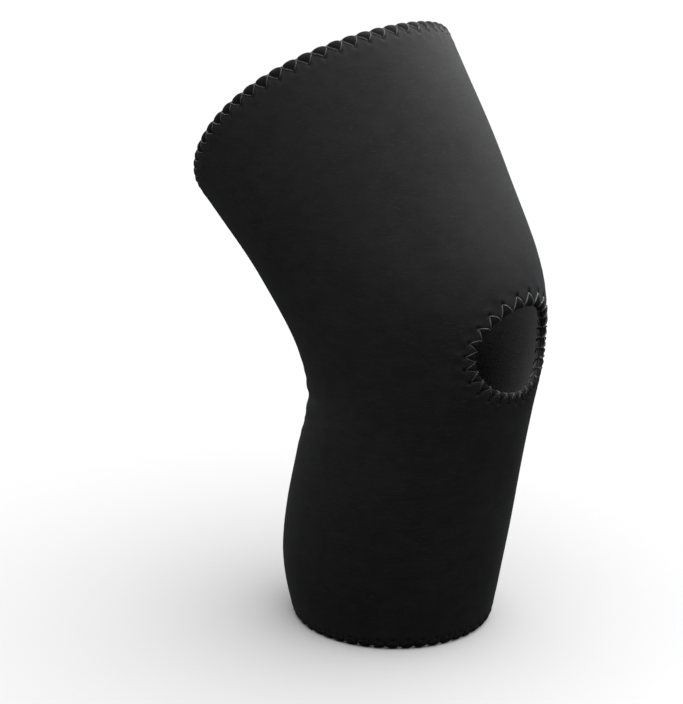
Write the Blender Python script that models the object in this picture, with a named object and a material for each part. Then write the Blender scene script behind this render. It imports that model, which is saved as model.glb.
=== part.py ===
"""Open-patella knee sleeve, size medium, in metres.

A tube of laminated neoprene shaped to a slightly bent knee: stretch fabric outside, foam core, lining inside.
It is one panel that closes along the back in a flatlocked butt seam, with an oval opening over the knee cap.
The hems and the opening are finished with zigzag looper thread.
The sleeve stands on its bottom hem: +Z is up, the knee cap faces -Y, and the knee bends about X.
The panel is divided across the knee into a calf section, a knee band and a thigh section, so that the thigh can turn.
"""

import math

import bmesh
import bpy
import numpy as np
from mathutils import Matrix, Vector

MM = 0.001

# Cross sections of the outer face, bottom hem to top hem, in mm and degrees: height of the centre, place of the centre
# along Y, half depth front to back, half width as a share of the half depth, backward lean of the section.
SECTIONS = (
    (0, -10.5, 52.0, 0.98, 0.0),
    (34, -11.5, 59.0, 0.96, 6.5),
    (70, -16.5, 61.5, 0.94, 11.5),
    (104, -23.5, 61.7, 0.91, 12.5),
    (130, -29.5, 62.0, 0.90, 14.0),
    (158, -27.5, 65.0, 0.91, 19.5),
    (204, -2.5, 68.0, 0.95, 31.0),
    (258, 36.5, 74.5, 0.97, 40.5),
)
TOP_HEM_DIP = 4.2  # the top hem lies this much lower at the front and back than its mean, and higher at the sides

# The wall, from the outer face inwards.
FABRIC = 0.6
CORE = 2.8
GAP = 0.3
OUTER_FACE = 0.0
CORE_FACE = OUTER_FACE + FABRIC + GAP
LINING_FACE = CORE_FACE + CORE + GAP
WALL = LINING_FACE + FABRIC

# Where the panel is divided across the knee.
CALF_TOP = 93.0
THIGH_BOTTOM = 170.0
TOP = SECTIONS[-1][0]
SPLIT = 0.5
SKIN_LIFT = 0.6  # the skins end this much above the core's bottom edge
BUTT_GAP = 0.6  # between the panel's two edges at the back
SEGMENTS = 36

# The knee's axis, and the patella opening.
PIVOT = Vector((0, -23.5, 130)) * MM
OPENING_HEIGHT = 138.0  # the section whose front point is the opening's centre
OPENING_HALF_WIDTH = 29.4
OPENING_HALF_HEIGHT = 21.5

# Looper thread.
THREAD_RADIUS = 0.35
HEM_STITCH = 5.0
TOP_STITCHES = 60
BOTTOM_STITCHES = 45
OPENING_STITCHES = 26
SEAM_PITCH = 4.0
SEAM_HALF_WIDTH = 2.6

BLACK_JERSEY = (0.016, 0.016, 0.018)
BLACK_FOAM = (0.012, 0.012, 0.012)
LINING_GREY = (0.022, 0.022, 0.025)
THREAD_GREY = (0.11, 0.11, 0.12)
THREAD_BLACK = (0.03, 0.03, 0.032)
LABEL_GREY = (0.42, 0.42, 0.42)


def clear_scene():
    for obj in list(bpy.data.objects):
        bpy.data.objects.remove(obj, do_unlink=True)


def material(name, colour, roughness):
    made = bpy.data.materials.new(name)
    made.use_nodes = True
    shader = made.node_tree.nodes["Principled BSDF"]
    shader.inputs["Base Color"].default_value = (*colour, 1)
    shader.inputs["Roughness"].default_value = roughness
    shader.inputs["Metallic"].default_value = 0.0
    made.diffuse_color = (*colour, 1)
    return made


def smooth_curve(x, stations, values):
    """A cubic through the stations whose slope at each is the weighted mean of its two sides."""
    xs, ys = np.array(stations, float), np.array(values, float)
    h = np.diff(xs)
    d = np.diff(ys) / h
    m = np.empty(len(xs))
    m[1:-1] = (h[1:] * d[:-1] + h[:-1] * d[1:]) / (h[1:] + h[:-1])
    m[0], m[-1] = 1.5 * d[0] - 0.5 * m[1], 1.5 * d[-1] - 0.5 * m[-2]
    k = int(np.clip(np.searchsorted(xs, x) - 1, 0, len(h) - 1))
    t = (x - xs[k]) / h[k]
    return float(
        (2 * t**3 - 3 * t**2 + 1) * ys[k]
        + (t**3 - 2 * t**2 + t) * h[k] * m[k]
        + (-2 * t**3 + 3 * t**2) * ys[k + 1]
        + (t**3 - t**2) * h[k] * m[k + 1]
    )


def section(height):
    """(centre along Y, half depth, half width, lean) of the outer face at this height."""
    columns = list(zip(*SECTIONS))
    y, depth, share, lean = (smooth_curve(height, columns[0], c) for c in columns[1:])
    return y, depth, depth * share, math.radians(lean)


def wall_point(height, turn, inset):
    """A point inset from the outer face, in metres. turn is 0 at the front and pi at the back."""
    y, depth, width, lean = section(height)
    rise = -TOP_HEM_DIP * math.cos(2 * turn) * max(0, (height - 130) / (TOP - 130)) ** 2
    across = (width - inset) * math.sin(turn)
    forward = (depth - inset) * math.cos(turn)
    return Vector(
        (
            across,
            y - forward * math.cos(lean) + rise * math.sin(lean),
            height + forward * math.sin(lean) + rise * math.cos(lean),
        )
    ) * MM


def opening_frame():
    """The opening's centre on the outer face, and the directions up and outward there."""
    centre = wall_point(OPENING_HEIGHT, 0, 0)
    up = (wall_point(OPENING_HEIGHT + 2, 0, 0) - wall_point(OPENING_HEIGHT - 2, 0, 0)).normalized()
    return centre, up, up.cross(Vector((1, 0, 0))).normalized() * -1


def front_point(across, above, inset):
    """The point of the wall that lies this far across and above the opening's centre, seen along the opening."""
    centre, up, _ = opening_frame()
    height = OPENING_HEIGHT + above
    for _ in range(25):
        _, _, width, _ = section(height)
        turn = math.asin(max(-1, min(1, across / (width - inset))))
        here = (wall_point(height, turn, inset) - centre).dot(up) / MM
        height += above - here
    return wall_point(height, turn, inset)


def add_object(name, data, look):
    obj = bpy.data.objects.new(name, data)
    bpy.context.scene.collection.objects.link(obj)
    data.materials.append(look)
    return obj


def sheet_between(name, heights, turns, outer, inner, look):
    """A closed piece of wall between two insets, over these heights and turns."""
    bm = bmesh.new()
    skins = [
        [[bm.verts.new(wall_point(h, u, inset)) for u in turns] for h in heights]
        for inset in (outer, inner)
    ]
    last_row, last_column = len(heights) - 1, len(turns) - 1
    for skin in skins:
        for i in range(last_row):
            for j in range(last_column):
                bm.faces.new((skin[i][j], skin[i][j + 1], skin[i + 1][j + 1], skin[i + 1][j]))
    out, into = skins
    for i in (0, last_row):
        for j in range(last_column):
            bm.faces.new((out[i][j], out[i][j + 1], into[i][j + 1], into[i][j]))
    for j in (0, last_column):
        for i in range(last_row):
            bm.faces.new((out[i][j], out[i + 1][j], into[i + 1][j], into[i][j]))
    bmesh.ops.recalc_face_normals(bm, faces=bm.faces)
    mesh = bpy.data.meshes.new(name)
    bm.to_mesh(mesh)
    bm.free()
    mesh.shade_smooth()
    mesh.set_sharp_from_angle(angle=math.radians(40))
    return add_object(name, mesh, look)


def panel(name, low, high, rows, outer, inner, look):
    """One layer of the wrapped panel: it runs round from one side of the butt seam to the other."""
    half_gap = BUTT_GAP / 2 / section((low + high) / 2)[1]
    turns = np.linspace(-(math.pi - half_gap), math.pi - half_gap, SEGMENTS + 1)
    return sheet_between(name, np.linspace(low, high, rows + 1), turns, outer, inner, look)


def thread(name, points, closed, look):
    """Looper thread along straight runs from needle hole to needle hole."""
    curve = bpy.data.curves.new(name, "CURVE")
    curve.dimensions = "3D"
    curve.bevel_depth = THREAD_RADIUS * MM
    curve.bevel_resolution = 0
    curve.use_fill_caps = True
    run = curve.splines.new("POLY")
    run.points.add(len(points) - 1)
    for slot, point in zip(run.points, points):
        slot.co = (*point, 1)
    run.use_cyclic_u = closed
    return add_object(name, curve, look)


def hem_thread(name, edge, inward, stitches, inset, look):
    """Zigzag round a hem: a hole at the edge, then one further in, and so on round."""
    points = []
    for k in range(stitches):
        for share, height in ((0.0, edge), (0.5, edge + inward)):
            points.append(wall_point(height, 2 * math.pi * (k + share) / stitches, inset))
    return thread(name, points, True, look)


def opening_thread(name, inset, look):
    points = []
    for k in range(OPENING_STITCHES):
        for share, out in ((0.0, 1.3), (0.5, 1.3 + HEM_STITCH)):
            turn = 2 * math.pi * (k + share) / OPENING_STITCHES
            points.append(
                front_point(
                    (OPENING_HALF_WIDTH + out) * math.sin(turn),
                    (OPENING_HALF_HEIGHT + out) * math.cos(turn),
                    inset,
                )
            )
    return thread(name, points, True, look)


def seam_thread(name, low, high, look):
    """Flatlock thread down the back, crossing from one edge of the panel to the other."""
    count = int((high - low) / SEAM_PITCH * 2)
    points = []
    for k in range(count + 1):
        height = low + (high - low) * k / count
        side = SEAM_HALF_WIDTH if k % 2 else -SEAM_HALF_WIDTH
        points.append(wall_point(height, math.pi + side / section(height)[1], -THREAD_RADIUS - 0.7))
    return thread(name, points, False, look)


def opening_cutter():
    """The punch that cuts the patella opening through the three layers of the knee band."""
    centre, up, out = opening_frame()
    bm = bmesh.new()
    bmesh.ops.create_cone(bm, cap_ends=True, segments=28, radius1=1, radius2=1, depth=45 * MM)
    bmesh.ops.scale(bm, vec=(OPENING_HALF_WIDTH * MM, OPENING_HALF_HEIGHT * MM, 1), verts=bm.verts)
    turn = Matrix((Vector((1, 0, 0)), up, out)).transposed()
    if turn.determinant() < 0:
        turn = Matrix((Vector((-1, 0, 0)), up, out)).transposed()
    bmesh.ops.transform(bm, matrix=Matrix.Translation(centre - out * 5 * MM) @ turn.to_4x4(), verts=bm.verts)
    bmesh.ops.recalc_face_normals(bm, faces=bm.faces)
    mesh = bpy.data.meshes.new("patella_punch")
    bm.to_mesh(mesh)
    bm.free()
    punch = bpy.data.objects.new("patella_punch", mesh)
    bpy.context.scene.collection.objects.link(punch)
    punch.hide_render = True
    punch.display_type = "WIRE"
    return punch


def hang_on(empty, obj):
    """The piece keeps its place, with its origin on the joint's axis."""
    if obj.type == "MESH":
        obj.data.transform(Matrix.Translation(-empty.location))
    else:
        for run in obj.data.splines:
            for point in run.points:
                point.co = (*(Vector(point.co[:3]) - empty.location), 1)
    obj.parent = empty


def main():
    clear_scene()
    jersey = material("outer_jersey", BLACK_JERSEY, 0.85)
    foam = material("neoprene", BLACK_FOAM, 0.9)
    lining = material("lining_jersey", LINING_GREY, 0.8)
    grey = material("grey_thread", THREAD_GREY, 0.6)
    black = material("black_thread", THREAD_BLACK, 0.6)
    label = material("label_tape", LABEL_GREY, 0.7)

    layers = (
        ("outer_fabric", OUTER_FACE, OUTER_FACE + FABRIC, jersey, SKIN_LIFT),
        ("neoprene_core", CORE_FACE, CORE_FACE + CORE, foam, 0.0),
        ("inner_lining", LINING_FACE, WALL, lining, SKIN_LIFT),
    )
    bands = (
        ("calf", 0.0, CALF_TOP, 5),
        ("knee", CALF_TOP + SPLIT, THIGH_BOTTOM - SPLIT, 6),
        ("thigh", THIGH_BOTTOM, TOP, 5),
    )
    made = {}
    for band, low, high, rows in bands:
        for layer, outer, inner, look, lift in layers:
            start = low + (lift if band == "calf" else 0)
            made[f"{band}_{layer}"] = panel(f"{band}_{layer}", start, high, rows, outer, inner, look)

    punch = opening_cutter()
    for layer, *_ in layers:
        cut = made[f"knee_{layer}"].modifiers.new("patella_opening", "BOOLEAN")
        cut.operation = "DIFFERENCE"
        cut.object = punch

    outside = -THREAD_RADIUS - 0.35
    inside = WALL + THREAD_RADIUS + 0.65
    made["top_hem_outer_thread"] = hem_thread(
        "top_hem_outer_thread", TOP - 0.8, -HEM_STITCH, TOP_STITCHES, outside, grey
    )
    made["top_hem_inner_thread"] = hem_thread(
        "top_hem_inner_thread", TOP - 0.8, -HEM_STITCH, TOP_STITCHES, inside, grey
    )
    made["bottom_hem_outer_thread"] = hem_thread(
        "bottom_hem_outer_thread", 1.4, HEM_STITCH, BOTTOM_STITCHES, outside, black
    )
    made["bottom_hem_inner_thread"] = hem_thread(
        "bottom_hem_inner_thread", 1.4, HEM_STITCH, BOTTOM_STITCHES, inside, black
    )
    made["patella_opening_outer_thread"] = opening_thread("patella_opening_outer_thread", outside, grey)
    made["patella_opening_inner_thread"] = opening_thread("patella_opening_inner_thread", inside + 0.2, grey)
    for band, low, high, _ in bands:
        start = low + (9.0 if band == "calf" else 1.0)
        end = high - (8.5 if band == "thigh" else 1.0)
        made[f"{band}_back_seam_thread"] = seam_thread(f"{band}_back_seam_thread", start, end, black)
    step = 2 * math.pi / SEGMENTS
    made["care_label"] = sheet_between(
        "care_label",
        (207.0, 222.8, 239.0),
        (math.pi - 3 * step, math.pi - 2 * step, math.pi - step),
        WALL + 0.5,
        WALL + 0.8,
        label,
    )

    axis = bpy.data.objects.new("knee_flexion_axis", None)
    axis.location = PIVOT
    bpy.context.scene.collection.objects.link(axis)
    for name, obj in made.items():
        if name.startswith(("thigh_", "top_hem_", "care_label")):
            hang_on(axis, obj)


main()
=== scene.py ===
"""The looks of the open-patella knee sleeve: one jersey-faced neoprene wall with scalloped, zigzag-stitched hems, its looper threads, the back seam and a blank label."""

import math

import bpy
import numpy as np
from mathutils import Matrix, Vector


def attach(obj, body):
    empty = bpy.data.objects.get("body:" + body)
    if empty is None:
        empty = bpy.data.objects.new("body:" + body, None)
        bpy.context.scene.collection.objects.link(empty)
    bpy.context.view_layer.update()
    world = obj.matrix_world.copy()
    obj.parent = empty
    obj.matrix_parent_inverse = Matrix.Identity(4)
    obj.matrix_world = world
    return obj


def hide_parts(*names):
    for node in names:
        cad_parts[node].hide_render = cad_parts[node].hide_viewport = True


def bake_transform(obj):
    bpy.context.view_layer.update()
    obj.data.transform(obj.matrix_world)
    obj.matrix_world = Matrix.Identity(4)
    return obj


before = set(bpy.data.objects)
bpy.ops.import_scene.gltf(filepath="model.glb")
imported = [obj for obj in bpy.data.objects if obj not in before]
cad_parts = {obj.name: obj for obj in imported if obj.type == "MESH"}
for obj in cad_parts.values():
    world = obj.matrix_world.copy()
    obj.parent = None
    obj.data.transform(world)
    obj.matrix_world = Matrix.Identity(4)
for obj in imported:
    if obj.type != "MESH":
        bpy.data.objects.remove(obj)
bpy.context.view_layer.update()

MM = 0.001

# ---------------------------------------------------------------- camera
AZIMUTH, ELEVATION, DISTANCE = math.radians(-50), math.radians(15.2), 0.8
TARGET = Vector((-0.0353, -0.0055, 0.1460))
camera_data = bpy.data.cameras.new("camera")
camera_data.sensor_width = 36
camera_data.lens = 83.6
camera_data.clip_start = 0.02
camera_data.clip_end = 50
camera = bpy.data.objects.new("camera", camera_data)
bpy.context.scene.collection.objects.link(camera)
BACK = Vector(
    (
        math.sin(AZIMUTH) * math.cos(ELEVATION),
        -math.cos(AZIMUTH) * math.cos(ELEVATION),
        math.sin(ELEVATION),
    )
)
camera.location = TARGET + BACK * DISTANCE
camera.rotation_euler = BACK.to_track_quat("Z", "Y").to_euler()
bpy.context.scene.camera = camera

# ---------------------------------------------------------------- the sleeve's shape, as the CAD has it
# Height of the section's centre, its place along Y, half depth, half width over half depth, backward lean in degrees.
SECTIONS = np.array(
    (
        (0, -10.5, 52.0, 0.98, 0.0),
        (34, -11.5, 59.0, 0.96, 6.5),
        (70, -16.5, 61.5, 0.94, 11.5),
        (104, -23.5, 61.7, 0.91, 12.5),
        (130, -29.5, 62.0, 0.90, 14.0),
        (158, -27.5, 65.0, 0.91, 19.5),
        (204, -2.5, 68.0, 0.95, 31.0),
        (258, 36.5, 74.5, 0.97, 40.5),
    )
)
TOP = 258.0
TOP_HEM_DIP = 4.2
WALL = 4.6
MID = WALL / 2
OPENING_HEIGHT, HALF_WIDTH, HALF_HEIGHT = 138.0, 29.4, 21.5
# Each stitch round the opening: where its tip lies, as a share of the way round from the lowest point, and how far out in mm.
OPENING_TIPS = np.array(
    (
        (0.022, 4.5), (0.056, 4.7), (0.090, 4.4), (0.125, 4.8), (0.161, 4.6), (0.195, 4.3), (0.227, 4.2),
        (0.260, 4.4), (0.297, 4.7), (0.338, 4.6), (0.381, 5.0), (0.428, 5.3), (0.482, 5.5), (0.535, 5.3),
        (0.588, 5.2), (0.633, 4.6), (0.674, 4.3), (0.713, 4.0), (0.746, 4.2), (0.777, 4.6), (0.810, 4.8),
        (0.846, 5.2), (0.883, 5.1), (0.919, 4.4), (0.953, 4.4), (0.987, 4.3),
    )
)
OPENING_STITCHES = len(OPENING_TIPS)
TOP_LOBES, BOTTOM_LOBES = 60, 45
TOP_PHASE, BOTTOM_PHASE = 2 / 9, 6 / 12  # where the lobes start, as a share of a lobe from the back seam
SCALLOP_TOP, SCALLOP_BOTTOM = 0.85, 1.3
TOP_EDGE, BOTTOM_EDGE = TOP + 1.3, 0.5  # the crests of the scallops
FINE = 540
COARSE = FINE // 2

_H = SECTIONS[:, 0]
_STEP = np.diff(_H)


def _slopes(values):
    d = np.diff(values) / _STEP
    m = np.empty(len(values))
    m[1:-1] = (_STEP[1:] * d[:-1] + _STEP[:-1] * d[1:]) / (_STEP[1:] + _STEP[:-1])
    m[0], m[-1] = 1.5 * d[0] - 0.5 * m[1], 1.5 * d[-1] - 0.5 * m[-2]
    return m


_M = [_slopes(SECTIONS[:, c]) for c in range(5)]


def station(h, c):
    k = np.clip(np.searchsorted(_H, h) - 1, 0, len(_STEP) - 1)
    w = _STEP[k]
    t = (h - _H[k]) / w
    y, m = SECTIONS[:, c], _M[c]
    return (
        (2 * t**3 - 3 * t**2 + 1) * y[k]
        + (t**3 - 2 * t**2 + t) * w * m[k]
        + (-2 * t**3 + 3 * t**2) * y[k + 1]
        + (t**3 - t**2) * w * m[k + 1]
    )


def surface(h, u, inset):
    """Points inset from the outer face, in metres; u is 0 at the front and pi at the back."""
    h, u, inset = np.broadcast_arrays(*(np.asarray(v, float) for v in (h, u, inset)))
    y, depth, share, lean = (station(h, c) for c in (1, 2, 3, 4))
    lean = np.radians(lean)
    rise = -TOP_HEM_DIP * np.cos(2 * u) * np.clip((h - 130) / (TOP - 130), 0, None) ** 2
    across = (depth * share - inset) * np.sin(u)
    forward = (depth - inset) * np.cos(u)
    return MM * np.stack(
        (
            across,
            y - forward * np.cos(lean) + rise * np.sin(lean),
            h + forward * np.sin(lean) + rise * np.cos(lean),
        ),
        -1,
    )


OPENING_CENTRE = surface(OPENING_HEIGHT, 0, 0)
OPENING_UP = surface(OPENING_HEIGHT + 2, 0, 0) - surface(OPENING_HEIGHT - 2, 0, 0)
OPENING_UP /= np.linalg.norm(OPENING_UP)


def to_opening(h, u):
    """(across, above) of an outer-face point, in mm, seen straight along the opening."""
    p = surface(h, u, 0)
    return p[..., 0] / MM, (p - OPENING_CENTRE) @ OPENING_UP / MM


def from_opening(across, above):
    """(height, turn) of the outer-face point with this across and above."""
    h = OPENING_HEIGHT + above * 0.85
    for _ in range(60):
        width = station(h, 2) * station(h, 3)
        u = np.arcsin(np.clip(across / width, -0.999, 0.999))
        h = h + (above - to_opening(h, u)[1]) * 0.8
    return h, u


def around_opening(count):
    """Points evenly spaced along the opening's oval from its lowest point towards +X, and the outward normals there."""
    fine = np.linspace(0, 2 * np.pi, 4001)
    x, y = HALF_WIDTH * np.sin(fine), -HALF_HEIGHT * np.cos(fine)
    run = np.concatenate([[0], np.cumsum(np.hypot(np.diff(x), np.diff(y)))])
    turn = np.interp(np.asarray(count) % 1.0 * run[-1], run, fine)
    point = np.stack((HALF_WIDTH * np.sin(turn), -HALF_HEIGHT * np.cos(turn)), -1)
    normal = np.stack((HALF_HEIGHT * np.sin(turn), -HALF_WIDTH * np.cos(turn)), -1)
    return point, normal / np.linalg.norm(normal, axis=-1, keepdims=True), run[-1]


OPENING_GIRTH = around_opening(0.0)[2]
_TIP_SHARES = np.concatenate([OPENING_TIPS[-3:, 0] - 1, OPENING_TIPS[:, 0], OPENING_TIPS[:3, 0] + 1])
_TIP_COUNTS = np.arange(-3, OPENING_STITCHES + 3) + 0.5
_TIP_REACH = np.concatenate([OPENING_TIPS[-3:, 1], OPENING_TIPS[:, 1], OPENING_TIPS[:3, 1]])


def stitch_of(share):
    """The stitch count reached at this share of the way round: a tip lies at each half."""
    return np.interp(share, _TIP_SHARES, _TIP_COUNTS)


def share_of(count):
    return np.interp(count, _TIP_COUNTS, _TIP_SHARES)


# ---------------------------------------------------------------- how the stitches shape the wall
def smooth(x, a, b):
    t = np.clip((x - a) / (b - a), 0, 1)
    return t * t * (3 - 2 * t)


def bell(x, width):
    return np.exp(-((x / width) ** 2))


def lobe_edge(p, deep):
    """How far the hem's edge lies inside its crest line, at p of a stitch."""
    return deep * (1 - np.abs(np.sin(np.pi * p)) ** 0.58)


def to_stitch(p, y, pitch, line):
    """Distance in mm to the stitch's thread, which repeats each pitch."""
    best = np.full(np.shape(y), 1e9)
    for shift in (-1, 0, 1):
        for (x0, y0), (x1, y1) in zip(line[:-1], line[1:]):
            ax, ay = (x0 + shift) * pitch, y0
            bx, by = (x1 - x0) * pitch, y1 - y0
            t = np.clip(((p * pitch - ax) * bx + (y - ay) * by) / (bx * bx + by * by), 0, 1)
            best = np.minimum(best, np.hypot(p * pitch - ax - t * bx, y - ay - t * by))
    return best


def hem_line(deep):
    return ((0.0, deep + 0.1), (0.24, 2.6), (0.42, 3.5), (0.55, 3.9), (0.67, 3.5), (0.82, 2.5), (1.0, deep + 0.1))


OPENING_LINE = ((0.0, 0.2), (0.24, 2.5), (0.5, 4.9), (0.76, 2.5), (1.0, 0.2))


def hem_reach(p, deep):
    """How far down the zigzag reaches at p of a stitch."""
    line = np.array(hem_line(deep))
    return np.interp(p, line[:, 0], line[:, 1])


def hem_shape(p, y, pitch, deep):
    """(how much of the wall's thickness is left, how far the face is pushed in, how much painted shade it gets where
    the lobes curl away from the light and at the needle holes).
    """
    d = np.maximum(0, y - lobe_edge(p, deep))
    across = np.minimum(p, 1 - p) * pitch
    left = 0.40 + 0.60 * np.sqrt(1 - (1 - np.clip(d / 4.2, 0, 1)) ** 2)
    left = left * (1 - 0.38 * bell(across, 0.9) * np.exp(-d / 1.6))
    thread = to_stitch(p, y, pitch, hem_line(deep))
    push = 0.42 * bell(thread, 0.55)
    tip = np.hypot((p - 0.55) * pitch, y - 4.25)
    push = push + 0.95 * bell(tip, 0.72)
    push = push - 0.30 * bell((p - 0.5) * pitch, 1.9) * bell(y - 1.7, 0.9)
    push = push - 0.22 * bell((p - 0.55) * pitch, 1.5) * bell(y - 5.9, 0.9)
    # Painted shade: the lobes inside the stitch's V and the needle hole at its tip are marked dark.
    inside_v = smooth(hem_reach(p, deep) - y, -0.5, 0.4)
    painted_shade = np.maximum(0.9 * bell(tip, 0.85), inside_v)
    return left, push, painted_shade


def opening_shape(count, r):
    """As hem_shape, r mm out from the opening at this stitch count."""
    pitch = OPENING_GIRTH * (share_of(count + 0.25) - share_of(count - 0.25)) * 2 * (1 + r / 26)
    q = count % 1.0
    r = r * OPENING_LINE[2][1] / np.interp(count, _TIP_COUNTS, _TIP_REACH)
    left = 0.52 + 0.48 * np.sqrt(1 - (1 - np.clip(r / 3.2, 0, 1)) ** 2)
    thread = to_stitch(q, r, pitch, OPENING_LINE)
    push = 0.40 * bell(thread, 0.55)
    tip = np.hypot((q - 0.5) * pitch, r - 5.45)
    push = push + 1.0 * bell(tip, 0.8)
    push = push - 0.26 * bell((q - 0.5) * pitch, 1.7) * bell(r - 2.3, 1.1)
    push = push - 0.20 * np.cos(2 * np.pi * (q - 0.5)) * bell(r - 7.6, 1.6)
    reach = np.interp(q, [x for x, _ in OPENING_LINE], [v for _, v in OPENING_LINE])
    # Painted shade in the lobes inside each V and at its needle hole, as at the hems.
    painted_shade = np.maximum(bell(tip, 0.9), smooth(reach - r, -0.6, 0.5))
    return left, push, painted_shade


def wall_shape(h, u):
    """The slow swells, the folds behind the knee and the butt seam's groove, as an inward push in mm."""
    quiet = smooth(h, 8, 30) * (1 - smooth(h, 228, 250))
    swell = 0.16 * np.sin(3 * u + h / 23) + 0.13 * np.sin(5 * u - h / 17 + 1.3) + 0.08 * np.sin(9 * u + h / 9 + 0.4)
    behind = smooth(-np.cos(u), 0.25, 0.95)
    x = np.pi - np.abs(u)
    folds = 0
    for height, bend, deep, wide in (
        (104, 9, 0.45, 2.8),
        (113, 5, 0.85, 3.0),
        (121, -3, 0.70, 2.6),
        (128, 3, 1.10, 3.2),
        (137, -6, 0.80, 2.8),
        (146, -9, 0.60, 3.2),
        (157, -12, 0.35, 3.4),
    ):
        folds = folds + deep * bell(h - height - bend * x**2 - 0.9 * np.sin(2.6 * u + height), wide)
    back = x * station(h, 2)
    groove = 0.9 * bell(back, 0.55) - 0.28 * bell(back - 1.7, 0.9)
    return quiet * (swell + behind * folds * 0.9) + groove


# ---------------------------------------------------------------- the grid of the wall
HEM_STEPS = (0, 0.3, 0.62, 1.0, 1.4, 1.85, 2.35, 2.9, 3.5, 4.15, 4.85, 5.6, 6.5, 7.8)
points = {"h": [], "u": [], "r": [], "q": [], "y": [], "end": []}
faces = []


def add_row(h, u, r=99.0, q=0.0, y=99.0, end=0):
    """A row of grid points; returns their indices."""
    n = len(u)
    first = len(points["h"])
    for key, value in (("h", h), ("u", u), ("r", r), ("q", q), ("y", y), ("end", end)):
        points[key].extend(np.broadcast_to(np.asarray(value, float), (n,)).tolist())
    return np.arange(first, first + n)


fine_turns = -np.pi + 2 * np.pi * np.arange(FINE) / FINE
coarse_turns = fine_turns[::2]


def hem_rows(edge, sign, lobes, phase, deep, end):
    p = np.round(np.arange(FINE) * lobes / FINE - phase, 9) % 1.0
    rows = []
    for d in HEM_STEPS:
        y = lobe_edge(p, deep) * np.clip(1 - d / 7.0, 0, 1) ** 1.3 + d
        rows.append(add_row(edge + sign * y, fine_turns, y=y, q=p, end=end))
    return rows


def ring_faces(lower, upper):
    n = len(lower)
    for i in range(n):
        faces.append((lower[i], lower[(i + 1) % n], upper[(i + 1) % n], upper[i]))


bottom_rows = hem_rows(BOTTOM_EDGE, 1, BOTTOM_LOBES, BOTTOM_PHASE, SCALLOP_BOTTOM, 1)
top_rows = hem_rows(TOP_EDGE, -1, TOP_LOBES, TOP_PHASE, SCALLOP_TOP, 2)
heights = np.concatenate(
    [np.arange(10, 100, 5.0), np.arange(100, 178, 2.0), np.arange(178, 247, 5.0), [248.0]]
)
body_rows = [add_row(h, coarse_turns) for h in heights]
for a, b in zip(bottom_rows[:-1], bottom_rows[1:]):
    ring_faces(a, b)
for a, b in zip(top_rows[:-1], top_rows[1:]):
    ring_faces(b, a)
for j in range(COARSE):
    k = (j + 1) % COARSE
    a, b, c = 2 * j, 2 * j + 1, (2 * j + 2) % FINE
    low, high = bottom_rows[-1], top_rows[-1]
    faces.append((low[a], low[b], low[c], body_rows[0][k], body_rows[0][j]))
    faces.append((body_rows[-1][j], body_rows[-1][k], high[c], high[b], high[a]))

BLOCK = 37  # columns each side of the front that the rings round the opening take up
LEFT, RIGHT = COARSE // 2 - BLOCK, COARSE // 2 + BLOCK
LOW = int(np.argmin(abs(heights - 102)))
HIGH = int(np.argmin(abs(heights - 174)))
for i in range(len(body_rows) - 1):
    for j in range(COARSE):
        if LOW <= i < HIGH and LEFT <= j < RIGHT:
            continue
        k = (j + 1) % COARSE
        faces.append((body_rows[i][j], body_rows[i][k], body_rows[i + 1][k], body_rows[i + 1][j]))

loop = (
    [body_rows[LOW][j] for j in range(LEFT, RIGHT)]
    + [body_rows[i][RIGHT] for i in range(LOW, HIGH)]
    + [body_rows[HIGH][j] for j in range(RIGHT, LEFT, -1)]
    + [body_rows[i][LEFT] for i in range(HIGH, LOW, -1)]
)
N = len(loop)
loop = np.array(loop)
h0, u0 = np.array(points["h"])[loop], np.array(points["u"])[loop]
outer = np.stack(to_opening(h0, u0), -1)
share = (np.arange(N) - BLOCK) / N
base, normal, _ = around_opening(share)
ring = loop
for w in (0.30, 0.56, 0.80):
    inner = base + 10.4 * normal
    xy = outer * (1 - w) + inner * w
    h, u = from_opening(xy[:, 0], xy[:, 1])
    row = add_row(h, u, r=np.linalg.norm(xy - base, axis=1), q=stitch_of(share % 1.0))
    ring_faces(ring, row)
    ring = row
share2 = (np.arange(2 * N) / 2 - BLOCK) / N
base2, normal2, _ = around_opening(share2)
steps = (10.4, 9.2, 8.2, 7.4, 6.7, 6.1, 5.55, 5.0, 4.45, 3.9, 3.35, 2.8, 2.25, 1.75, 1.3, 0.9, 0.55, 0.25, 0.0)
previous = None
for r in steps:
    xy = base2 + r * normal2
    h, u = from_opening(xy[:, 0], xy[:, 1])
    row = add_row(h, u, r=r, q=stitch_of(share2 % 1.0))
    if previous is None:
        for j in range(N):
            k = (j + 1) % N
            a, b, c = 2 * j, 2 * j + 1, (2 * j + 2) % (2 * N)
            faces.append((ring[j], ring[k], row[c], row[b], row[a]))
    else:
        ring_faces(previous, row)
    previous = row
opening_rim = previous

for key in points:
    points[key] = np.array(points[key])
TOP_PITCH = 463.0 / TOP_LOBES
BOTTOM_PITCH = 323.0 / BOTTOM_LOBES


def wall_insets():
    """(outer face's inset, inner face's inset, painted shade) of every grid point."""
    h, u, r, q, y, end = (points[k] for k in ("h", "u", "r", "q", "y", "end"))
    push = wall_shape(h, u)
    left = np.ones(len(h))
    painted_shade = np.zeros(len(h))
    for which, pitch, deep in ((1, BOTTOM_PITCH, SCALLOP_BOTTOM), (2, TOP_PITCH, SCALLOP_TOP)):
        near = end == which
        l, p, k = hem_shape(q[near], y[near], pitch, deep)
        plain_hem = 0.6 if which == 1 else 1.0  # the calf hem's stitches press in less and its lobes get less painted shade
        left[near], painted_shade[near] = l, k * plain_hem
        push[near] += p * plain_hem * (1 - smooth(y[near], 7.0, 8.5))
    near = r < 40
    l, p, k = opening_shape(q[near], r[near])
    left[near], painted_shade[near] = l, k
    push[near] += p * (1 - smooth(r[near], 9.5, 14))
    inner_push = np.where((end > 0) | near, 0.8, 0.25)
    return MID - MID * left + push, MID + MID * left - np.clip(push, -0.3, 1.2) * inner_push, painted_shade


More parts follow.
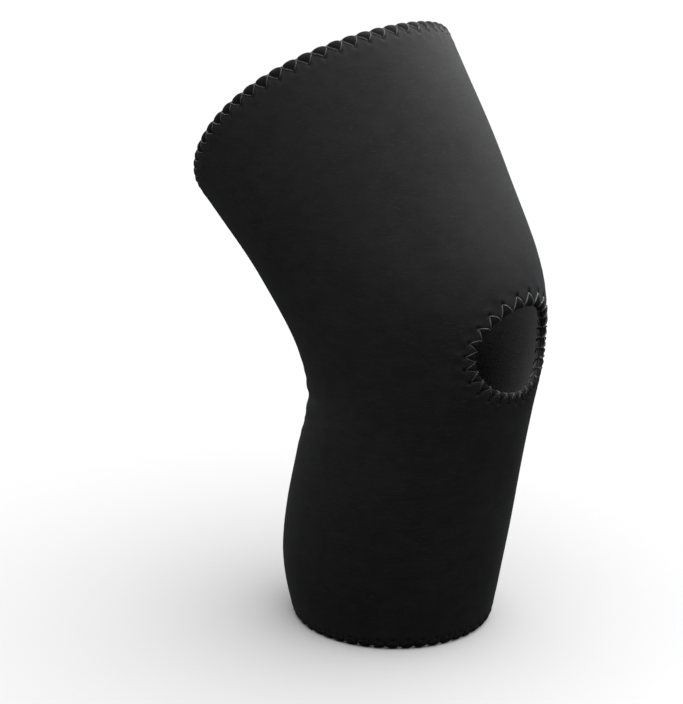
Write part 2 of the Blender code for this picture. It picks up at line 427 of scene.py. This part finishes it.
outer_inset, inner_inset, wall_painted_shade = wall_insets()
outside = surface(points["h"], points["u"], outer_inset)
inside = surface(points["h"], points["u"], inner_inset)
COUNT = len(outside)
vertices = [outside, inside]
# The lining face gets six tenths of the painted shade.
shade = [wall_painted_shade, wall_painted_shade * 0.6]
all_faces = [tuple(int(i) for i in f[::-1]) for f in faces] + [
    tuple(int(i) + COUNT for i in f) for f in faces
]
slots = [0] * len(faces) + [2] * len(faces)


def rim(row, beyond, flip):
    """Closes the wall's cut edge with a bulged strip: jersey, foam, lining."""
    n = len(row)
    first = sum(len(v) for v in vertices)
    layers = (0.13, 0.3, 0.5, 0.7, 0.87)
    grid = [row]
    for k, t in enumerate(layers):
        place = outside[row] * (1 - t) + inside[row] * t + beyond * (0.42 * MM * math.sin(math.pi * t))
        vertices.append(place)
        # Painted shade: every inner row of the strip is marked fully dark, so the jersey and lining turn near black at
        # the cut edge.
        shade.append(np.full(n, 1.0))
        grid.append(np.arange(first + k * n, first + (k + 1) * n))
    grid.append(row + COUNT)
    for k in range(len(grid) - 1):
        for i in range(n):
            j = (i + 1) % n
            face = (grid[k][i], grid[k][j], grid[k + 1][j], grid[k + 1][i])
            all_faces.append(tuple(int(v) for v in (face if flip else face[::-1])))
            slots.append(0 if k == 0 else 2 if k == len(grid) - 2 else 1)


def edge_direction(row, towards):
    """The direction out of the cut edge, in the wall's own plane."""
    d = outside[row] - towards
    return d / np.linalg.norm(d, axis=1, keepdims=True)


down = surface(points["h"][bottom_rows[0]] + 3, points["u"][bottom_rows[0]], outer_inset[bottom_rows[0]])
rim(bottom_rows[0], edge_direction(bottom_rows[0], down), False)
up = surface(points["h"][top_rows[0]] - 3, points["u"][top_rows[0]], outer_inset[top_rows[0]])
rim(top_rows[0], edge_direction(top_rows[0], up), True)
away = base2 + 3 * normal2
ha, ua = from_opening(away[:, 0], away[:, 1])
rim(opening_rim, edge_direction(opening_rim, surface(ha, ua, 0.8)), True)


def add_mesh(name, co, polygons, materials, indices=None, attributes=()):
    mesh = bpy.data.meshes.new(name)
    mesh.from_pydata(co.tolist(), [], polygons)
    mesh.update()
    for m in materials:
        mesh.materials.append(m)
    if indices is not None:
        mesh.polygons.foreach_set("material_index", np.array(indices, np.int32))
    for key, values in attributes:
        if values.ndim == 1:
            a = mesh.attributes.new(key, "FLOAT", "POINT")
            a.data.foreach_set("value", values.astype(np.float32))
        else:
            a = mesh.attributes.new(key, "FLOAT_VECTOR", "POINT")
            a.data.foreach_set("vector", values.astype(np.float32).ravel())
    mesh.shade_smooth()
    obj = bpy.data.objects.new(name, mesh)
    bpy.context.scene.collection.objects.link(obj)
    return obj


# ---------------------------------------------------------------- materials
class Nodes:
    """A Principled material and short calls for the nodes that feed it."""

    def __init__(self, name, **constants):
        self.material = bpy.data.materials.new(name)
        self.material.use_nodes = True
        self.tree = self.material.node_tree
        self.shader = self.tree.nodes["Principled BSDF"]
        for key, value in constants.items():
            self.shader.inputs[key.replace("_", " ")].default_value = value

    def add(self, kind, inputs=(), **settings):
        node = self.tree.nodes.new(kind)
        for key, value in settings.items():
            setattr(node, key, value)
        for key, value in dict(inputs).items():
            self.put(node.inputs[key], value)
        return node

    def put(self, socket, value):
        if isinstance(value, bpy.types.NodeSocket):
            self.tree.links.new(value, socket)
        else:
            socket.default_value = value

    def math(self, operation, a, b=0.0, clamp=False):
        node = self.add("ShaderNodeMath", operation=operation, use_clamp=clamp)
        self.put(node.inputs[0], a)
        self.put(node.inputs[1], b)
        return node.outputs[0]

    def noise(self, place, scale, detail=2.0, rough=0.5):
        return self.add(
            "ShaderNodeTexNoise",
            {"Vector": place, "Scale": scale, "Detail": detail, "Roughness": rough},
        ).outputs["Fac"]

    def stretch(self, place, scale):
        node = self.add("ShaderNodeMapping", {"Vector": place})
        node.inputs["Scale"].default_value = scale
        return node.outputs[0]

    def ramp(self, value, low, high, a=0.0, b=1.0):
        return self.add(
            "ShaderNodeMapRange",
            {"Value": value, "From Min": low, "From Max": high, "To Min": a, "To Max": b},
        ).outputs[0]

    def mix(self, share, a, b):
        node = self.add("ShaderNodeMix", data_type="RGBA")
        self.put(node.inputs["Factor"], share)
        self.put(node.inputs[6], a)
        self.put(node.inputs[7], b)
        return node.outputs[2]

    def attribute(self, name, output="Fac"):
        return self.add("ShaderNodeAttribute", attribute_name=name).outputs[output]

    def bump(self, height, strength, distance):
        node = self.add("ShaderNodeBump", {"Height": height, "Strength": strength, "Distance": distance})
        self.put(self.shader.inputs["Normal"], node.outputs[0])
        return node


def jersey_material():
    n = Nodes("black_jersey", Sheen_Weight=0.03, Sheen_Roughness=0.5, Specular_IOR_Level=0.16)
    n.shader.inputs["Sheen Tint"].default_value = (0.8, 0.84, 0.9, 1)
    rest = n.attribute("rest", "Vector")
    painted_shade = n.attribute("painted_shade")
    slub = n.noise(n.stretch(rest, (330, 330, 1500)), 1.0, 1.0)
    patch = n.noise(rest, 70.0, 2.0)
    streak = n.noise(n.stretch(rest, (120, 120, 900)), 1.0, 2.0)
    knit = n.noise(n.stretch(rest, (1700, 1700, 1200)), 1.0, 2.0)
    cloud = n.noise(rest, 26.0, 3.0)
    mottle = n.noise(n.stretch(rest, (110, 110, 170)), 1.0, 2.0)
    flecks = n.math("MULTIPLY", n.ramp(slub, 0.63, 0.74, 0.0, 2.0), n.ramp(patch, 0.44, 0.56, 0.15, 1.0))
    flecks = n.math("ADD", flecks, n.ramp(slub, 0.22, 0.34, -0.4, 0.0))
    tone = n.math("ADD", n.ramp(streak, 0.30, 0.70, -0.10, 0.10), flecks)
    tone = n.math("ADD", tone, n.ramp(cloud, 0.3, 0.7, -0.07, 0.07))
    tone = n.math("ADD", tone, n.ramp(mottle, 0.3, 0.7, -0.20, 0.20))
    tone = n.math("ADD", n.math("ADD", tone, n.ramp(knit, 0.3, 0.7, -0.06, 0.06)), 0.50)
    cloth = n.mix(tone, (0.0090, 0.0091, 0.0094, 1), (0.0185, 0.0187, 0.0194, 1))
    # Painted shade: where the mask marks curled lobes, needle holes and cut edges, the cloth is mixed towards near
    # black.
    colour = n.mix(n.math("MULTIPLY", painted_shade, 0.92), cloth, (0.0024, 0.0024, 0.0026, 1))
    n.put(n.shader.inputs["Base Color"], colour)
    rough = n.math("ADD", n.ramp(streak, 0.3, 0.7, 0.64, 0.72), n.math("MULTIPLY", painted_shade, 0.12))
    n.put(n.shader.inputs["Roughness"], rough)
    height = n.math("ADD", n.math("MULTIPLY", knit, 0.55), n.math("MULTIPLY", slub, 0.45))
    n.bump(height, 0.20, 0.00028)
    return n.material


def foam_material():
    n = Nodes("foam_edge", Specular_IOR_Level=0.3)
    rest = n.attribute("rest", "Vector")
    cells = n.add("ShaderNodeTexVoronoi", {"Vector": rest, "Scale": 2600.0})
    pores = n.ramp(cells.outputs["Distance"], 0.0, 0.6)
    n.put(n.shader.inputs["Base Color"], n.mix(pores, (0.003, 0.003, 0.003, 1), (0.011, 0.011, 0.011, 1)))
    n.put(n.shader.inputs["Roughness"], n.ramp(pores, 0.0, 1.0, 0.95, 0.8))
    n.bump(pores, 0.5, 0.0003)
    return n.material


def lining_material():
    n = Nodes("lining_jersey", Sheen_Weight=0.35, Sheen_Roughness=0.6, Specular_IOR_Level=0.25)
    n.shader.inputs["Sheen Tint"].default_value = (0.74, 0.75, 0.77, 1)
    rest = n.attribute("rest", "Vector")
    painted_shade = n.attribute("painted_shade")
    loops = n.add("ShaderNodeTexVoronoi", {"Vector": rest, "Scale": 1500.0})
    nap = n.ramp(loops.outputs["Distance"], 0.0, 0.7)
    drift = n.noise(n.stretch(rest, (90, 90, 420)), 1.0, 3.0)
    tone = n.math("ADD", n.math("MULTIPLY", nap, 0.5), n.ramp(drift, 0.3, 0.7, 0.0, 0.5))
    cloth = n.mix(tone, (0.021, 0.021, 0.022, 1), (0.056, 0.056, 0.058, 1))
    # Painted shade on the lining, from the same mask.
    n.put(n.shader.inputs["Base Color"], n.mix(n.math("MULTIPLY", painted_shade, 0.7), cloth, (0.006, 0.006, 0.007, 1)))
    n.put(n.shader.inputs["Roughness"], n.ramp(nap, 0.0, 1.0, 0.95, 0.8))
    n.bump(n.math("ADD", nap, n.math("MULTIPLY", drift, 0.5)), 0.45, 0.0005)
    return n.material


def thread_material(name, low, high, gloss, level, painted_shade_colour=None):
    """Two-ply bulked nylon: the plies wind round the thread. Given a shade colour, its high colour is painted lit above
    the knee cap and falls to that painted shade below it.
    """
    n = Nodes(name, Specular_IOR_Level=level, Sheen_Weight=0.1, Sheen_Roughness=0.35)
    uv = n.add("ShaderNodeUVMap", uv_map="thread").outputs[0]
    split = n.add("ShaderNodeSeparateXYZ", {"Vector": uv})
    wind = n.math("ADD", n.math("MULTIPLY", split.outputs[0], 2 * math.pi), n.math("MULTIPLY", split.outputs[1], 2 * math.pi * 2))
    ply = n.math("ABSOLUTE", n.math("SINE", wind))
    fuzz = n.noise(n.attribute("rest", "Vector"), 3200.0, 2.0)
    tone = n.math("MULTIPLY", ply, n.ramp(fuzz, 0.3, 0.7, 0.75, 1.1), clamp=True)
    if painted_shade_colour:
        high = n.mix(n.attribute("painted_light_above"), painted_shade_colour, high)
    n.put(n.shader.inputs["Base Color"], n.mix(tone, low, high))
    n.put(n.shader.inputs["Roughness"], n.ramp(tone, 0.0, 1.0, 0.75, gloss))
    n.bump(n.math("ADD", ply, n.math("MULTIPLY", fuzz, 0.3)), 0.7, 0.00012)
    return n.material


def label_material():
    """Woven satin tape: fine ribs across, a tight selvedge down each side, a little grey from wear."""
    n = Nodes("blank_label", Specular_IOR_Level=0.45, Sheen_Weight=0.15)
    rest = n.attribute("rest", "Vector")
    uv = n.add("ShaderNodeSeparateXYZ", {"Vector": n.add("ShaderNodeUVMap", uv_map="thread").outputs[0]})
    across, along = uv.outputs[0], uv.outputs[1]
    ribs = n.math("SINE", n.math("MULTIPLY", along, 2 * math.pi * 70))
    picks = n.math("SINE", n.math("MULTIPLY", across, 2 * math.pi * 55))
    weave = n.math("MULTIPLY", n.math("MULTIPLY", ribs, picks), 0.5)
    edge = n.ramp(n.math("ABSOLUTE", n.math("SUBTRACT", across, 0.5)), 0.44, 0.47, 0.0, 1.0)
    worn = n.noise(rest, 160.0, 4.0)
    tone = n.math("ADD", n.math("MULTIPLY", weave, 0.35), n.ramp(worn, 0.3, 0.7, 0.25, 0.85), clamp=True)
    cloth = n.mix(tone, (0.17, 0.17, 0.165, 1), (0.30, 0.30, 0.29, 1))
    n.put(n.shader.inputs["Base Color"], n.mix(n.math("MULTIPLY", edge, 0.6), cloth, (0.13, 0.13, 0.13, 1)))
    n.put(n.shader.inputs["Roughness"], n.ramp(tone, 0.0, 1.0, 0.58, 0.42))
    n.bump(n.math("ADD", weave, n.math("MULTIPLY", edge, 0.6)), 0.5, 0.00012)
    return n.material


JERSEY, FOAM, LINING = jersey_material(), foam_material(), lining_material()
# The same thread is made in lit and shaded copies: grey_thread has a painted highlight for the top hem under the light,
# black_thread has painted shade for the calf hem and back seam.
LIT_THREAD = thread_material("grey_thread", (0.016, 0.017, 0.018, 1), (0.070, 0.072, 0.074, 1), 0.38, 0.7)
DARK_THREAD = thread_material("dark_grey_thread", (0.008, 0.008, 0.009, 1), (0.125, 0.127, 0.130, 1), 0.36, 0.6, (0.013, 0.013, 0.014, 1))
SHADED_THREAD = thread_material("black_thread", (0.003, 0.003, 0.004, 1), (0.011, 0.011, 0.012, 1), 0.5, 0.3)
LABEL = label_material()

# ---------------------------------------------------------------- the wall
co = np.concatenate(vertices)
all_faces = [f[::-1] for f in all_faces]  # wound so that every face looks out of the wall
sleeve = add_mesh(
    "neoprene_sleeve",
    co,
    all_faces,
    (JERSEY, FOAM, LINING),
    slots,
    (("rest", co), ("painted_shade", np.concatenate(shade))),
)


# ---------------------------------------------------------------- threads
def through(path, per, closed):
    """A Catmull-Rom curve through the path, per samples for each span."""
    p = np.asarray(path)
    n = len(p)
    t = (np.arange(per) / per)[:, None]
    out = []
    for i in range(n if closed else n - 1):
        if closed:
            a, b, c, d = p[i - 1], p[i], p[(i + 1) % n], p[(i + 2) % n]
        else:
            a, b, c, d = p[max(i - 1, 0)], p[i], p[i + 1], p[min(i + 2, n - 1)]
        out.append(
            0.5 * (2 * b + (c - a) * t + (2 * a - 5 * b + 4 * c - d) * t**2 + (3 * b - a - 3 * c + d) * t**3)
        )
    out = np.concatenate(out)
    return out if closed else np.vstack([out, p[-1]])


def tube(path, radius, sides, closed):
    """(vertices, faces, uv per corner) of a thread along the path, with a frame carried along it."""
    p = np.asarray(path)
    n = len(p)
    ahead = np.roll(p, -1, 0) - p if closed else np.vstack([p[1:] - p[:-1], p[-1:] - p[-2:-1]])
    behind = np.roll(ahead, 1, 0)
    if not closed:
        behind[0] = ahead[0]
    unit = lambda v: v / np.maximum(np.linalg.norm(v, axis=-1, keepdims=True), 1e-12)
    t = unit(unit(ahead) + unit(behind))
    side = np.empty_like(p)
    first = np.cross(t[0], (0.3, 0.5, 0.8))
    side[0] = first / np.linalg.norm(first)
    for i in range(1, n):
        s = side[i - 1] - t[i] * (side[i - 1] @ t[i])
        side[i] = s / np.linalg.norm(s)
    if closed:  # spread the twist left at the end over the whole loop
        s = side[-1] - t[0] * (side[-1] @ t[0])
        s /= np.linalg.norm(s)
        turn = math.atan2(np.cross(s, side[0]) @ t[0], s @ side[0])
        angle = turn * np.arange(n) / n
        side = side * np.cos(angle)[:, None] + np.cross(t, side) * np.sin(angle)[:, None]
    other = np.cross(t, side)
    run = np.concatenate([[0], np.cumsum(np.linalg.norm(p[1:] - p[:-1], axis=1))])
    v = 2 * np.pi * np.arange(sides) / sides
    ring = np.cos(v)[None, :, None] * side[:, None] + np.sin(v)[None, :, None] * other[:, None]
    co = (p[:, None] + radius * ring).reshape(-1, 3)
    polygons, uvs = [], []
    winds = 1 / (0.9 * MM)  # the plies turn once in 0.9 mm
    for i in range(n if closed else n - 1):
        j = (i + 1) % n
        a = run[i] * winds
        b = run[i + 1] * winds if i + 1 < n else (run[i] + np.linalg.norm(p[0] - p[-1])) * winds
        for k in range(sides):
            m = (k + 1) % sides
            polygons.append((i * sides + k, i * sides + m, j * sides + m, j * sides + k))
            uvs += [(a, k / sides), (a, (k + 1) / sides), (b, (k + 1) / sides), (b, k / sides)]
    if not closed:
        polygons.append(tuple(range(sides))[::-1])
        polygons.append(tuple((n - 1) * sides + k for k in range(sides)))
        uvs += [(0, 0)] * (2 * sides)
    return co, polygons, uvs


def add_thread(name, paths, radius, material, sides=7):
    """One object of one or more runs of thread. paths holds (points, closed)."""
    co, polygons, uvs = [], [], []
    for path, closed in paths:
        c, f, w = tube(path, radius * MM, sides, closed)
        first = sum(len(x) for x in co)
        co.append(c)
        polygons += [tuple(i + first for i in face) for face in f]
        uvs += w
    co = np.concatenate(co)
    above = (co - OPENING_CENTRE) @ OPENING_UP / MM  # painted light: the thread is painted lit above the knee cap and painted shade below it
    obj = add_mesh(name, co, polygons, (material,), attributes=(("rest", co), ("painted_light_above", smooth(above, -8, 24))))
    layer = obj.data.uv_layers.new(name="thread")
    layer.data.foreach_set("uv", np.array(uvs, np.float32).ravel())
    return obj


RADIUS = 0.27
jitter = np.random.default_rng(7)


def hem_thread(edge, sign, lobes, phase, deep, pitch, inner):
    """The looper thread of a hem: over the edge in each notch, down to the needle hole and back."""
    stops = (
        (0.0, None, 0.0),
        (0.07, deep + 0.62, 0.20),
        (0.24, 2.60, 0.24),
        (0.41, 3.45, 0.20),
        (0.51, 3.85, -0.05),
        (0.56, 3.95, -0.28),
        (0.63, 3.60, 0.02),
        (0.79, 2.60, 0.24),
        (0.93, deep + 0.62, 0.20),
    )
    path = []
    for k in range(lobes):
        drift = jitter.normal(0, 0.12, 2)
        for p, y, lift in stops:
            if y is None:
                y = lobe_edge(0.0, deep) - 0.50
                inset = MID + (0.42 if inner else -0.42)
            else:
                p2 = p + (drift[0] * 0.12 if 0.2 < p < 0.8 else 0)
                y = y + (drift[1] if 0.2 < p < 0.8 else 0)
                left, push, _ = hem_shape(np.array(p2), np.array(y), pitch, deep)
                face = MID - MID * left + push
                inset = face - lift if not inner else WALL - face + lift
                p = p2
            u = -np.pi + 2 * np.pi * (k + p + phase) / lobes
            path.append(surface(edge + sign * y, u, float(inset)))
    return through(path, 4, True)


def opening_thread(inner):
    stops = (
        (0.0, -0.55, 0.0),
        (0.09, 0.8, 0.22),
        (0.25, 2.6, 0.28),
        (0.41, 4.2, 0.24),
        (0.47, 4.85, 0.0),
        (0.52, 5.00, -0.28),
        (0.57, 4.6, 0.06),
        (0.74, 2.7, 0.28),
        (0.91, 0.8, 0.22),
    )
    path = []
    for k in range(OPENING_STITCHES):
        drift = jitter.normal(0, 0.14, 2)
        for q, r, lift in stops:
            loose = 0.2 < q < 0.8
            q2, r2 = q + drift[0] * 0.15 * loose, r + drift[1] * 1.3 * loose
            b, nrm, _ = around_opening(share_of(k + q2))
            if r2 > 0:
                r2 *= float(np.interp(k + q2, _TIP_COUNTS, _TIP_REACH)) / OPENING_LINE[2][1]
            xy = b + r2 * nrm
            h, u = from_opening(np.array([xy[0]]), np.array([xy[1]]))
            if r < 0:
                inset = MID + (0.45 if inner else -0.45)
            else:
                left, push, _ = opening_shape(np.array(k + q2), np.array(max(r2, 0.0)))
                face = MID - MID * left + push
                inset = face - lift if not inner else WALL - face + lift
            path.append(surface(h[0], u[0], float(inset)))
    return through(path, 4, True)


def seam_thread(inner):
    """Zigzag over the butt seam down the back."""
    low, high, pitch, half = 9.0, 249.5, 4.0, 2.6
    count = int((high - low) / pitch * 2)
    path = []
    for k in range(count + 1):
        h = low + (high - low) * k / count
        side = half if k % 2 else -half
        for x, dh, lift in ((side * 0.55, -0.45, 0.26), (side * 0.94, -0.12, 0.05), (side, 0.1, -0.15), (side * 0.9, 0.35, 0.08)):
            hh = h + dh
            face = float(wall_shape(np.array(hh), np.array(np.pi - abs(x) / station(np.array(hh), 2))))
            inset = face - lift if not inner else WALL - 0.25 * max(face, -0.3) + lift
            path.append(surface(hh, np.pi + x / float(station(np.array(hh), 2)), inset))
    return through(path, 3, False)


top_outer = add_thread(
    "top_hem_thread_outside", [(hem_thread(TOP_EDGE, -1, TOP_LOBES, TOP_PHASE, SCALLOP_TOP, TOP_PITCH, False), True)], RADIUS, LIT_THREAD
)
top_inner = add_thread(
    "top_hem_thread_inside", [(hem_thread(TOP_EDGE, -1, TOP_LOBES, TOP_PHASE, SCALLOP_TOP, TOP_PITCH, True), True)], RADIUS, LIT_THREAD
)
bottom_outer = add_thread(
    "bottom_hem_thread_outside", [(hem_thread(BOTTOM_EDGE, 1, BOTTOM_LOBES, BOTTOM_PHASE, SCALLOP_BOTTOM, BOTTOM_PITCH, False), True)], RADIUS, SHADED_THREAD
)
bottom_inner = add_thread(
    "bottom_hem_thread_inside", [(hem_thread(BOTTOM_EDGE, 1, BOTTOM_LOBES, BOTTOM_PHASE, SCALLOP_BOTTOM, BOTTOM_PITCH, True), True)], RADIUS, SHADED_THREAD
)
opening_outer = add_thread("patella_opening_thread_outside", [(opening_thread(False), True)], 0.38, DARK_THREAD)
opening_inner = add_thread("patella_opening_thread_inside", [(opening_thread(True), True)], 0.38, DARK_THREAD)
seam = add_thread("back_seam_thread", [(seam_thread(False), False), (seam_thread(True), False)], RADIUS, SHADED_THREAD)


# ---------------------------------------------------------------- the blank label inside
def label_mesh():
    """A tape sewn along its top edge; below, it lifts off the lining and its free end curls."""
    step = 2 * math.pi / 36
    across, along, thick = 30, 44, 0.2
    x, t = np.meshgrid(np.linspace(0, 1, across + 1), np.linspace(0, 1, along + 1))
    u = math.pi - 3 * step + 2 * step * x
    h = 239.0 - 32.0 * t
    free = smooth(t, 0.07, 1.0)
    lift = 0.42 + 2.6 * free**1.6 + free * (0.55 * np.sin(2.4 * np.pi * x + 0.7) + 0.35 * np.sin(5.1 * x + 6 * t))
    lift = lift + 1.2 * smooth(t, 0.86, 1.0) * (0.6 + 0.4 * x) - 0.16 * bell(t - 0.04, 0.018)
    folds = 0.10 * bell(t - 0.075, 0.012) + 0.12 * bell(t - 0.97, 0.01)
    near = surface(h, u, WALL + lift)
    far = surface(h, u, WALL + lift + thick + folds)
    rows, columns = along + 1, across + 1
    co = [near.reshape(-1, 3), far.reshape(-1, 3)]
    place = np.stack((x, t), -1).reshape(-1, 2)
    place = np.concatenate([place, place])
    at = lambda i, j, k: k * rows * columns + i * columns + j
    polygons = []
    for i in range(along):
        for j in range(across):
            polygons.append((at(i, j, 0), at(i, j + 1, 0), at(i + 1, j + 1, 0), at(i + 1, j, 0)))
            polygons.append((at(i, j, 1), at(i + 1, j, 1), at(i + 1, j + 1, 1), at(i, j + 1, 1)))
    for j in range(across):
        polygons.append((at(0, j, 0), at(0, j, 1), at(0, j + 1, 1), at(0, j + 1, 0)))
        polygons.append((at(along, j, 0), at(along, j + 1, 0), at(along, j + 1, 1), at(along, j, 1)))
    for i in range(along):
        polygons.append((at(i, 0, 0), at(i + 1, 0, 0), at(i + 1, 0, 1), at(i, 0, 1)))
        polygons.append((at(i, across, 0), at(i, across, 1), at(i + 1, across, 1), at(i + 1, across, 0)))
    polygons = [face[::-1] for face in polygons]
    uvs = [tuple(place[i]) for face in polygons for i in face]
    looks = [0] * len(polygons)
    for k in range(9):  # the row of stitches that holds its top edge
        a = (k + 0.22) / 9.0
        path = []
        for part, up in ((0, -0.25), (0.12, 0.16), (0.35, 0.26), (0.6, 0.24), (0.68, -0.25)):
            turn = math.pi - 3 * step + 2 * step * (a + part / 9.0)
            path.append(surface(239.0 - 32.0 * 0.04, turn, WALL + 0.26 + thick + up))
        c, f, w = tube(through(path, 3, False), 0.16 * MM, 6, False)
        first = sum(len(v) for v in co)
        co.append(c)
        polygons += [tuple(i + first for i in face) for face in f]
        uvs += w
        looks += [1] * len(f)
    co = np.concatenate(co)
    obj = add_mesh("care_label_blank", co, polygons, (LABEL, LIT_THREAD), looks, (("rest", co),))
    layer = obj.data.uv_layers.new(name="thread")
    layer.data.foreach_set("uv", np.array(uvs, np.float32).ravel())
    return obj


label = label_mesh()

# ---------------------------------------------------------------- how the pieces move
for piece, nodes, slot in (
    (sleeve, [f"{b}_{l}" for b in ("calf", "knee", "thigh") for l in ("outer_fabric", "neoprene_core", "inner_lining")], "outer_jersey"),
    (opening_outer, ["patella_opening_outer_thread"], "grey_thread"),
    (opening_inner, ["patella_opening_inner_thread"], "grey_thread"),
    (seam, [f"{b}_back_seam_thread" for b in ("calf", "knee", "thigh")], "black_thread"),
    (label, ["care_label"], "label_tape"),
):
    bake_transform(piece)
    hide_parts(*nodes)
for piece, node, body, slot in (
    (top_outer, "top_hem_outer_thread", "thigh_section", "grey_thread"),
    (top_inner, "top_hem_inner_thread", "thigh_section", "grey_thread"),
    (bottom_outer, "bottom_hem_outer_thread", "calf_section", "black_thread"),
    (bottom_inner, "bottom_hem_inner_thread", "calf_section", "black_thread"),
):
    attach(piece, body)
    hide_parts(node)
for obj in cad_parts.values():
    for s in obj.material_slots:
        s.material = LINING


# ---------------------------------------------------------------- floor and light
def plain(name, colour, roughness):
    m = bpy.data.materials.new(name)
    m.use_nodes = True
    s = m.node_tree.nodes["Principled BSDF"]
    s.inputs["Base Color"].default_value = (*colour, 1)
    s.inputs["Roughness"].default_value = roughness
    s.inputs["Specular IOR Level"].default_value = 0.1
    return m


floor_mesh = bpy.data.meshes.new("floor")
floor_mesh.from_pydata([(-12, -12, 0), (12, -12, 0), (12, 12, 0), (-12, 12, 0)], [], [(0, 1, 2, 3)])
floor_mesh.materials.append(plain("pale_floor", (0.86, 0.86, 0.86), 0.9))
floor = bpy.data.objects.new("floor", floor_mesh)
bpy.context.scene.collection.objects.link(floor)
floor.visible_diffuse = floor.visible_glossy = False

world = bpy.data.worlds.new("studio")
world.use_nodes = True
tree = world.node_tree
seen = tree.nodes.new("ShaderNodeBackground")
seen.inputs["Color"].default_value = (1, 1, 1, 1)
seen.inputs["Strength"].default_value = 1.0
tree.nodes["Background"].inputs["Color"].default_value = (1, 1, 1, 1)
tree.nodes["Background"].inputs["Strength"].default_value = 0.035
path = tree.nodes.new("ShaderNodeLightPath")
either = tree.nodes.new("ShaderNodeMixShader")
tree.links.new(path.outputs["Is Camera Ray"], either.inputs[0])
tree.links.new(tree.nodes["Background"].outputs[0], either.inputs[1])
tree.links.new(seen.outputs[0], either.inputs[2])
tree.links.new(either.outputs[0], tree.nodes["World Output"].inputs["Surface"])
bpy.context.scene.world = world

# The backdrop is lit on its own, so that the white floor doesn't wash the black cloth out.
on_sleeve = bpy.data.collections.new("lit_by_softboxes")
on_floor = bpy.data.collections.new("lit_by_sky")
for obj in (sleeve, label, top_outer, top_inner, bottom_outer, bottom_inner, opening_outer, opening_inner, seam):
    on_sleeve.objects.link(obj)
on_floor.objects.link(floor)
MIDDLE = Vector((0, -0.03, 0.19))


def softbox(name, azimuth, elevation, power, size=0.5, away=1.0):
    a, e = math.radians(azimuth), math.radians(elevation)
    towards = Vector((math.sin(a) * math.cos(e), -math.cos(a) * math.cos(e), math.sin(e)))
    data = bpy.data.lights.new(name, "AREA")
    data.shape = "RECTANGLE"
    data.size = data.size_y = size
    data.energy = power
    obj = bpy.data.objects.new(name, data)
    bpy.context.scene.collection.objects.link(obj)
    obj.location = MIDDLE + towards * away
    obj.rotation_euler = towards.to_track_quat("Z", "Y").to_euler()
    obj.light_linking.receiver_collection = on_sleeve


softbox("key", 60, 72, 9.7)
softbox("edge", 85, 45, 6.6)
softbox("front", 20, 25, 4.6)
softbox("side", -110, 34, 3.9)
softbox("camera_side", -60, 40, 2.9)
softbox("low_edge", 100, 25, 1.9)
softbox("back", 175, 38, 4.2)
softbox("low_back", 134, 6, 3.4)
sky_data = bpy.data.lights.new("sky", "SUN")
sky_data.energy = 3.82
sky_data.angle = math.radians(100)
sky = bpy.data.objects.new("sky", sky_data)
bpy.context.scene.collection.objects.link(sky)
sky.rotation_euler = (math.radians(12), math.radians(8), 0)
sky.light_linking.receiver_collection = on_floor
scene = bpy.context.scene
scene.view_settings.view_transform = "Standard"
scene.view_settings.look = "None"
